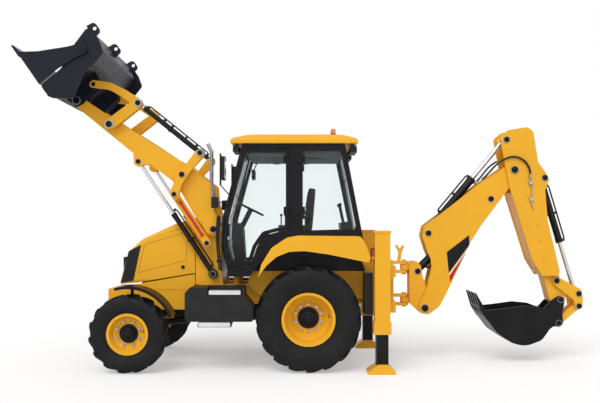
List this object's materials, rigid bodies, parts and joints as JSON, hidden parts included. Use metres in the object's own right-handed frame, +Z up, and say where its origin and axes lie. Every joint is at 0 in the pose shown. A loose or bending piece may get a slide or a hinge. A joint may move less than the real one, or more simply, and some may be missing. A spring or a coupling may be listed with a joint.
{
  "type": "backhoe loader",
  "caption": "Wheeled backhoe loader: front loader arms with a two-part bucket, glazed cab, side-shift backhoe, folding boom and dipper, and two stabilizer legs.",
  "frame": {"origin": "middle of the machine's footprint box, on the ground", "axes": "+X from the loader bucket to the backhoe, +Y to the machine's right-hand side as the loader driver sits facing -X, +Z up"},
  "size_m": [7.4093, 2.292, 4.3503],
  "materials": {
    "yellow_paint": "gloss paint with light dust",
    "rim_yellow": "gloss paint",
    "black_paint": "satin paint",
    "bucket_blue_black": "satin paint",
    "cylinder_black": "gloss paint",
    "chrome_rod": "polished",
    "pin_steel": "turned",
    "grey_casting": "cast, painted",
    "black_plastic": "moulded grain",
    "window_glass": "clear, light tint",
    "seat_cloth": "woven",
    "tyre_rubber": "matt rubber"
  },
  "bodies": {
    "root": {"frame": "yellow_paint", "engine": "grey_casting", "body_panels": "yellow_paint", "exhaust": "black_paint", "cab": "black_paint", "cab_roof": "yellow_paint", "cab_glass": "window_glass", "cab_interior": "black_plastic", "side_boxes": "black_plastic", "lamps_and_mirrors": "black_plastic", "front_axle": "black_paint", "rear_axle": "black_paint"},
    "hood": {"hood": "yellow_paint", "hood_grilles": "black_plastic"},
    "door_left": {"door_left": "black_paint", "door_left_glass": "window_glass"},
    "door_right": {"door_right": "black_paint", "door_right_glass": "window_glass"},
    "seat": {"seat": "seat_cloth"},
    "knuckle_left": {"knuckle_left": "black_paint"},
    "knuckle_right": {"knuckle_right": "black_paint"},
    "steering_rod": {"steering_rod": "pin_steel"},
    "wheel_front_left": {"wheel_front_left": "rim_yellow", "tyre_front_left": "tyre_rubber"},
    "wheel_front_right": {"wheel_front_right": "rim_yellow", "tyre_front_right": "tyre_rubber"},
    "wheel_rear_left": {"wheel_rear_left": "rim_yellow", "tyre_rear_left": "tyre_rubber"},
    "wheel_rear_right": {"wheel_rear_right": "rim_yellow", "tyre_rear_right": "tyre_rubber"},
    "loader_arms": {"loader_arms": "yellow_paint"},
    "lift_barrels": {"lift_barrels": "cylinder_black"},
    "lift_rods": {"lift_rods": "chrome_rod"},
    "bell_cranks": {"bell_cranks": "yellow_paint", "tilt_pins": "pin_steel"},
    "levelling_links": {"levelling_links": "yellow_paint"},
    "tilt_barrels": {"tilt_barrels": "cylinder_black"},
    "tilt_rods": {"tilt_rods": "chrome_rod"},
    "lever_pins": {"lever_pins": "pin_steel"},
    "tilt_levers": {"tilt_levers": "yellow_paint"},
    "link_pins": {"link_pins": "pin_steel"},
    "bucket_links": {"bucket_links": "yellow_paint"},
    "bucket_pins": {"bucket_pins": "pin_steel"},
    "loader_bucket": {"loader_bucket": "bucket_blue_black"},
    "bucket_jaw": {"bucket_jaw": "bucket_blue_black"},
    "sideshift_carriage": {"sideshift_carriage": "yellow_paint"},
    "swing_post": {"swing_post": "yellow_paint"},
    "boom": {"boom": "yellow_paint"},
    "boom_barrel": {"boom_barrel": "cylinder_black"},
    "boom_rod": {"boom_rod": "chrome_rod"},
    "dipper": {"dipper": "yellow_paint"},
    "crowd_barrel": {"crowd_barrel": "cylinder_black"},
    "crowd_rod": {"crowd_rod": "chrome_rod"},
    "dig_barrel": {"dig_barrel": "cylinder_black"},
    "dig_rod": {"dig_rod": "chrome_rod"},
    "rocker": {"rocker": "black_paint"},
    "push_link": {"push_link": "black_paint"},
    "dig_bucket": {"dig_bucket": "black_paint"},
    "stabilizer_left": {"stabilizer_leg_left": "black_paint"},
    "stabilizer_right": {"stabilizer_leg_right": "black_paint"}
  },
  "joints": [
    {"name": "steer_left", "type": "hinge", "parent": "root", "child": "knuckle_left", "pos_m": [-2.315, -0.78, 0.49], "axis": [0, 0, 1], "range_deg": [-30, 30]},
    {"name": "steer_right", "type": "hinge", "parent": "root", "child": "knuckle_right", "pos_m": [-2.315, 0.78, 0.49], "axis": [0, 0, 1], "range_deg": [-30.01, 30.01]},
    {"name": "steering_rod_slide", "type": "slide", "parent": "root", "child": "steering_rod", "axis": [0, 1, 0], "range_m": [-0.0926, 0.0926]},
    {"name": "front_wheel_left_spin", "type": "hinge", "parent": "knuckle_left", "child": "wheel_front_left", "pos_m": [-2.315, -0.94, 0.49], "axis": [0, 1, 0], "continuous": true},
    {"name": "front_wheel_right_spin", "type": "hinge", "parent": "knuckle_right", "child": "wheel_front_right", "pos_m": [-2.315, 0.94, 0.49], "axis": [0, 1, 0], "continuous": true},
    {"name": "rear_wheel_left_spin", "type": "hinge", "parent": "root", "child": "wheel_rear_left", "pos_m": [-0.065, -0.86, 0.667], "axis": [0, 1, 0], "continuous": true},
    {"name": "rear_wheel_right_spin", "type": "hinge", "parent": "root", "child": "wheel_rear_right", "pos_m": [-0.065, 0.86, 0.667], "axis": [0, 1, 0], "continuous": true},
    {"name": "hood_hinge", "type": "hinge", "parent": "root", "child": "hood", "pos_m": [-1.577, 0, 1.934], "axis": [0, 1, 0], "range_deg": [0, 40]},
    {"name": "door_left_hinge", "type": "hinge", "parent": "root", "child": "door_left", "pos_m": [-0.293, -0.734, 2], "axis": [0, 0, 1], "range_deg": [0, 80]},
    {"name": "door_right_hinge", "type": "hinge", "parent": "root", "child": "door_right", "pos_m": [-0.293, 0.734, 2], "axis": [0, 0, -1], "range_deg": [0, 80]},
    {"name": "seat_swivel", "type": "hinge", "parent": "root", "child": "seat", "pos_m": [-0.255, 0, 1.6], "axis": [0, 0, 1], "range_deg": [0, 180]},
    {"name": "lift", "type": "hinge", "parent": "root", "child": "loader_arms", "pos_m": [-1.306, 0, 1.794], "axis": [0, 1, 0], "range_deg": [-82, 0]},
    {"name": "lift_barrel_pivot", "type": "hinge", "parent": "root", "child": "lift_barrels", "pos_m": [-1.312, 0, 1.207], "axis": [0, -1, 0], "range_deg": [-0.01, 71.12]},
    {"name": "lift_rod_slide", "type": "slide", "parent": "lift_barrels", "child": "lift_rods", "axis": [-0.553, 0, 0.8332], "range_m": [-0.72577, 0.00001]},
    {"name": "crank_pivot", "type": "hinge", "parent": "loader_arms", "child": "bell_cranks", "pos_m": [-1.704, 0, 2.505], "axis": [0, -1, 0], "range_deg": [-54.75, 0.01]},
    {"name": "levelling_pivot", "type": "hinge", "parent": "root", "child": "levelling_links", "pos_m": [-1.381, 0, 1.614], "axis": [0, -1, 0], "range_deg": [-0.01, 86.91]},
    {"name": "lever_pin_turn", "type": "hinge", "parent": "loader_arms", "child": "lever_pins", "pos_m": [-2.647, 0, 3.157], "axis": [0, -1, 0], "range_deg": [-48.97, 0.01]},
    {"name": "link_pin_turn", "type": "hinge", "parent": "tilt_levers", "child": "link_pins", "pos_m": [-2.272, 0, 3.432], "axis": [0, -1, 0], "range_deg": [-0.01, 48.39]},
    {"name": "bucket_pin_turn", "type": "hinge", "parent": "loader_arms", "child": "bucket_pins", "pos_m": [-3.094, 0, 3.475], "axis": [0, -1, 0], "range_deg": [-70.01, 0.01]},
    {"name": "tilt", "type": "hinge", "parent": "bucket_pins", "child": "loader_bucket", "pos_m": [-3.094, 0, 3.475], "axis": [0, -1, 0], "range_deg": [0, 100]},
    {"name": "tilt_barrel_pivot", "type": "hinge", "parent": "bell_cranks", "child": "tilt_barrels", "pos_m": [-1.468, 0, 2.784], "axis": [0, -1, 0], "range_deg": [-0.01, 59.36]},
    {"name": "tilt_rod_slide", "type": "slide", "parent": "tilt_barrels", "child": "tilt_rods", "axis": [-0.7786, 0, 0.6275], "range_m": [-0.00001, 0.45507]},
    {"name": "lever_pivot", "type": "hinge", "parent": "lever_pins", "child": "tilt_levers", "pos_m": [-2.647, 0, 3.157], "axis": [0, -1, 0], "range_deg": [-0.01, 60.2]},
    {"name": "bucket_link_pivot", "type": "hinge", "parent": "link_pins", "child": "bucket_links", "pos_m": [-2.272, 0, 3.432], "axis": [0, -1, 0], "range_deg": [-41.57, 0.01]},
    {"name": "jaw", "type": "hinge", "parent": "loader_bucket", "child": "bucket_jaw", "pos_m": [-2.84999, 0, 4.01733], "axis": [0, 1, 0], "range_deg": [0, 50]},
    {"name": "side_shift", "type": "slide", "parent": "root", "child": "sideshift_carriage", "axis": [0, 1, 0], "range_m": [-0.5, 0.5]},
    {"name": "swing", "type": "hinge", "parent": "sideshift_carriage", "child": "swing_post", "pos_m": [1.267, 0, 1], "axis": [0, 0, 1], "range_deg": [-90, 90]},
    {"name": "boom", "type": "hinge", "parent": "swing_post", "child": "boom", "pos_m": [1.531, 0, 0.717], "axis": [0, 1, 0], "range_deg": [0, 95]},
    {"name": "boom_barrel_pivot", "type": "hinge", "parent": "swing_post", "child": "boom_barrel", "pos_m": [1.438, 0, 1.217], "axis": [0, -1, 0], "range_deg": [-90.42, 0.01]},
    {"name": "boom_rod_slide", "type": "slide", "parent": "boom_barrel", "child": "boom_rod", "axis": [0.7089, 0, 0.7053], "range_m": [-0.00001, 0.73703]},
    {"name": "dipper", "type": "hinge", "parent": "boom", "child": "dipper", "pos_m": [2.744, 0, 2.6], "axis": [0, -1, 0], "range_deg": [0, 85]},
    {"name": "crowd_barrel_pivot", "type": "hinge", "parent": "boom", "child": "crowd_barrel", "pos_m": [1.58, 0, 1.738], "axis": [0, -1, 0], "range_deg": [-3.67, 0.01]},
    {"name": "crowd_rod_slide", "type": "slide", "parent": "crowd_barrel", "child": "crowd_rod", "axis": [0.6388, 0, 0.7694], "range_m": [-0.56646, 0.00001]},
    {"name": "dig_bucket", "type": "hinge", "parent": "dipper", "child": "dig_bucket", "pos_m": [3.386, 0, 0.832], "axis": [0, -1, 0], "range_deg": [0, 125]},
    {"name": "rocker_pivot", "type": "hinge", "parent": "dipper", "child": "rocker", "pos_m": [3.325, 0, 1.092], "axis": [0, -1, 0], "range_deg": [-0.01, 82.43]},
    {"name": "push_link_pivot", "type": "hinge", "parent": "rocker", "child": "push_link", "pos_m": [3.63, 0, 0.746], "axis": [0, -1, 0], "range_deg": [-40.61, 0.01]},
    {"name": "dig_barrel_pivot", "type": "hinge", "parent": "dipper", "child": "dig_barrel", "pos_m": [3.155, 0, 2.492], "axis": [0, -1, 0], "range_deg": [-0.01, 2.32]},
    {"name": "dig_rod_slide", "type": "slide", "parent": "dig_barrel", "child": "dig_rod", "axis": [0.2866, 0, -0.9581], "range_m": [-0.45843, 0.00001]},
    {"name": "stabilizer_left", "type": "slide", "parent": "root", "child": "stabilizer_left", "axis": [0, 0, 1], "range_m": [0, 0.36]},
    {"name": "stabilizer_right", "type": "slide", "parent": "root", "child": "stabilizer_right", "axis": [0, 0, 1], "range_m": [0, 0.36]}
  ],
  "couplings": [
    {"joint": "steer_right", "follows": "steer_left", "ratio": 1},
    {"joint": "steering_rod_slide", "follows": "steer_left", "m_per_rad": 0.17666},
    {"joint": "lift_barrel_pivot", "follows": "lift", "ratio": -0.86723},
    {"joint": "lift_rod_slide", "follows": "lift", "m_per_rad": 0.50711},
    {"joint": "crank_pivot", "follows": "lift", "ratio": 0.66762},
    {"joint": "levelling_pivot", "follows": "lift", "ratio": -1.0597},
    {"joint": "lever_pin_turn", "follows": "lift", "ratio": 0.59708},
    {"joint": "link_pin_turn", "follows": "lift", "ratio": -0.59003},
    {"joint": "bucket_pin_turn", "follows": "lift", "ratio": 0.85366},
    {"joint": "tilt_barrel_pivot", "follows": "lift", "ratio": -0.72376},
    {"joint": "tilt_rod_slide", "follows": "tilt", "m_per_rad": 0.26073},
    {"joint": "lever_pivot", "follows": "tilt", "ratio": 0.60191},
    {"joint": "bucket_link_pivot", "follows": "tilt", "ratio": -0.41562},
    {"joint": "boom_barrel_pivot", "follows": "boom", "ratio": -0.9517},
    {"joint": "boom_rod_slide", "follows": "boom", "m_per_rad": 0.4445},
    {"joint": "crowd_barrel_pivot", "follows": "dipper", "ratio": -0.043065},
    {"joint": "crowd_rod_slide", "follows": "dipper", "m_per_rad": -0.38182},
    {"joint": "rocker_pivot", "follows": "dig_bucket", "ratio": 0.65933},
    {"joint": "push_link_pivot", "follows": "dig_bucket", "ratio": -0.32477},
    {"joint": "dig_barrel_pivot", "follows": "dig_bucket", "ratio": 0.018498},
    {"joint": "dig_rod_slide", "follows": "dig_bucket", "m_per_rad": -0.21013}
  ]
}
